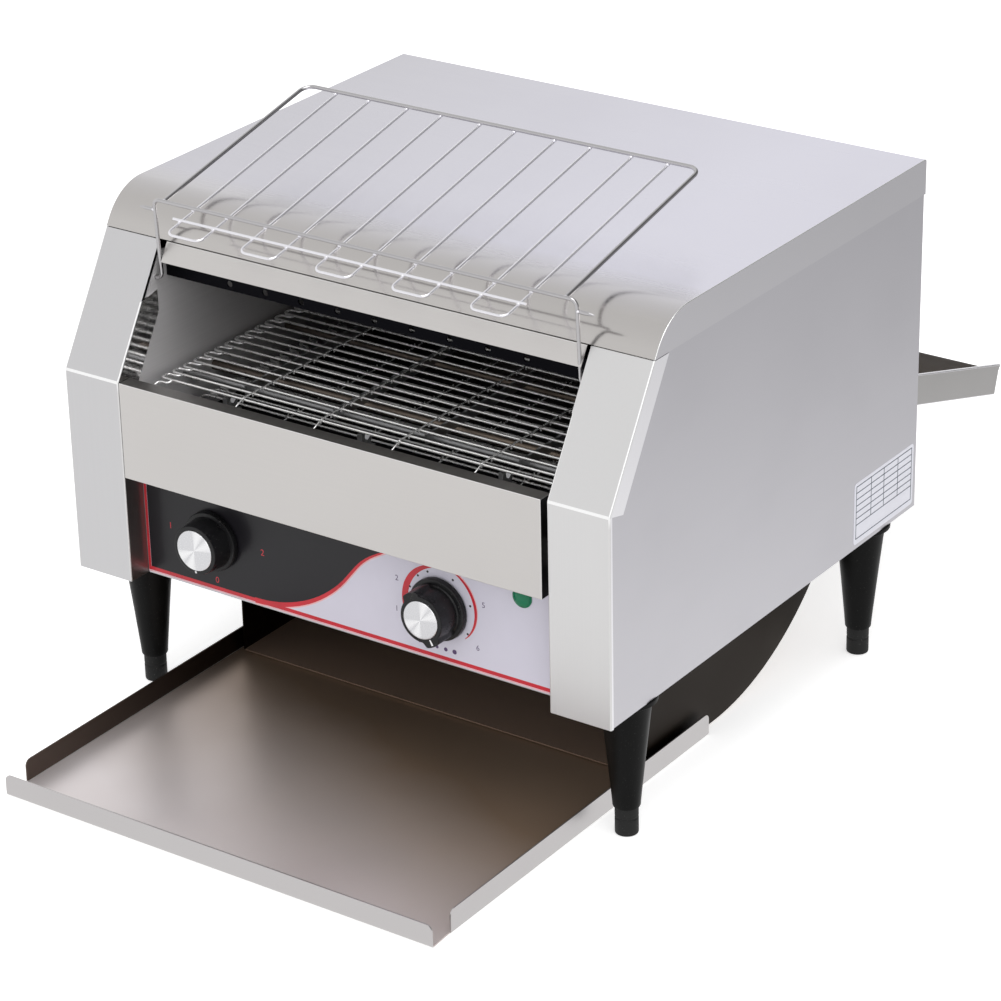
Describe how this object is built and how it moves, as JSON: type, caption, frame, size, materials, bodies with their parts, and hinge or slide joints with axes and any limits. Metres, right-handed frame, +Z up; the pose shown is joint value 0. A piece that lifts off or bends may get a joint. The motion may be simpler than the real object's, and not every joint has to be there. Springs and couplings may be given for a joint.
{
  "type": "conveyor toaster",
  "caption": "Conveyor toaster: steel casing on tapered legs, wire belt between heating tubes, folding wire feed rack, front tray and rear chute.",
  "frame": {"origin": "under the middle of the bounding box, on the surface the feet and the tray stand on", "axes": "+X to the right seen from the front, +Y from the front to the rear, +Z up"},
  "size_m": [0.471, 0.7888, 0.434],
  "materials": {
    "casing_steel": "satin",
    "liner_steel": "satin",
    "slide_steel": "satin",
    "tray_steel": "satin",
    "heater_tube": "satin",
    "belt_wire": "polished",
    "rack_wire": "polished",
    "drive_steel": "satin",
    "motor_housing": "satin",
    "sleeve_ceramic": "matte",
    "bearing_bronze": "satin",
    "overlay_film": "gloss",
    "knob_plastic": "satin",
    "knob_cap": "brushed",
    "lamp_green": "gloss",
    "switch_plastic": "matte",
    "leg_plastic": "satin",
    "foot_rubber": "matte",
    "label_film": "satin",
    "screw_steel": "satin"
  },
  "bodies": {
    "casing": {"hood": "casing_steel", "left_side_panel": "casing_steel", "right_side_panel": "casing_steel", "left_front_column": "casing_steel", "right_front_column": "casing_steel", "hood_front_strip": "casing_steel", "front_fascia": "casing_steel", "control_panel": "casing_steel", "panel_overlay": "overlay_film", "control_bay": "casing_steel", "rear_panel": "casing_steel", "left_base_rail": "casing_steel", "right_base_rail": "casing_steel", "left_liner": "liner_steel", "right_liner": "liner_steel", "upper_reflector": "liner_steel", "lower_reflector": "liner_steel", "upper_heaters": "heater_tube", "lower_heaters": "heater_tube", "heater_insulators": "sleeve_ceramic", "wire_belt": "belt_wire", "shaft_bearings": "bearing_bronze", "belt_rails": "drive_steel", "gear_motor": "motor_housing", "motor_bracket": "casing_steel", "drive_chain": "drive_steel", "selector_switch": "switch_plastic", "speed_control": "switch_plastic", "lamp_lens": "lamp_green", "lamp_body": "switch_plastic", "terminal_block": "switch_plastic", "cord_gland": "switch_plastic", "toast_slide": "slide_steel", "rear_chute": "casing_steel", "rating_label": "label_film", "casing_screws": "screw_steel", "left_front_leg": "leg_plastic", "left_rear_leg": "leg_plastic", "right_front_leg": "leg_plastic", "right_rear_leg": "leg_plastic"},
    "feed_rack": {"rack_arm_wire": "rack_wire", "rack_stop_pins": "rack_wire", "rack_frame_wire": "rack_wire", "rack_hairpins": "rack_wire", "rack_tie_wire": "rack_wire"},
    "selector": {"selector_knob": "knob_plastic", "selector_cap": "knob_cap"},
    "speed_setting": {"speed_knob": "knob_plastic", "speed_cap": "knob_cap"},
    "drive_roller": {"drive_shaft": "drive_steel", "drive_sprockets": "drive_steel", "driven_sprocket": "drive_steel"},
    "idler_roller": {"idler_shaft": "drive_steel", "idler_sprockets": "drive_steel"},
    "motor_output": {"motor_sprocket": "drive_steel"},
    "tray": {"toast_tray": "tray_steel"},
    "left_front_foot_screw": {"left_front_foot": "foot_rubber"},
    "left_rear_foot_screw": {"left_rear_foot": "foot_rubber"},
    "right_front_foot_screw": {"right_front_foot": "foot_rubber"},
    "right_rear_foot_screw": {"right_rear_foot": "foot_rubber"}
  },
  "joints": [
    {"name": "rack_fold", "type": "hinge", "parent": "casing", "child": "feed_rack", "pos_m": [0, -0.1984, 0.333], "axis": [1, 0, 0], "range_deg": [0, 133.4]},
    {"name": "selector_turn", "type": "hinge", "parent": "casing", "child": "selector", "pos_m": [-0.121, -0.2294, 0.1528], "axis": [0, 1, 0], "range_deg": [0, 270]},
    {"name": "speed_turn", "type": "hinge", "parent": "casing", "child": "speed_setting", "pos_m": [0.0805, -0.2294, 0.1528], "axis": [0, 1, 0], "range_deg": [0, 270]},
    {"name": "drive_turn", "type": "hinge", "parent": "casing", "child": "drive_roller", "pos_m": [0, 0.1056, 0.24332], "axis": [-1, 0, 0], "continuous": true},
    {"name": "idler_turn", "type": "hinge", "parent": "casing", "child": "idler_roller", "pos_m": [0, -0.2064, 0.24332], "axis": [-1, 0, 0], "continuous": true},
    {"name": "motor_turn", "type": "hinge", "parent": "casing", "child": "motor_output", "pos_m": [-0.202, 0.0316, 0.165], "axis": [-1, 0, 0], "continuous": true},
    {"name": "tray_slide", "type": "slide", "parent": "casing", "child": "tray", "axis": [0, -1, 0], "range_m": [-0.12, 0.08]},
    {"name": "left_front_foot_adjust", "type": "slide", "parent": "casing", "child": "left_front_foot_screw", "axis": [0, 0, -1], "range_m": [0, 0.02]},
    {"name": "left_rear_foot_adjust", "type": "slide", "parent": "casing", "child": "left_rear_foot_screw", "axis": [0, 0, -1], "range_m": [0, 0.02]},
    {"name": "right_front_foot_adjust", "type": "slide", "parent": "casing", "child": "right_front_foot_screw", "axis": [0, 0, -1], "range_m": [0, 0.02]},
    {"name": "right_rear_foot_adjust", "type": "slide", "parent": "casing", "child": "right_rear_foot_screw", "axis": [0, 0, -1], "range_m": [0, 0.02]}
  ],
  "couplings": [
    {"joint": "idler_turn", "follows": "drive_turn", "ratio": 1},
    {"joint": "motor_turn", "follows": "drive_turn", "ratio": 1.5}
  ]
}
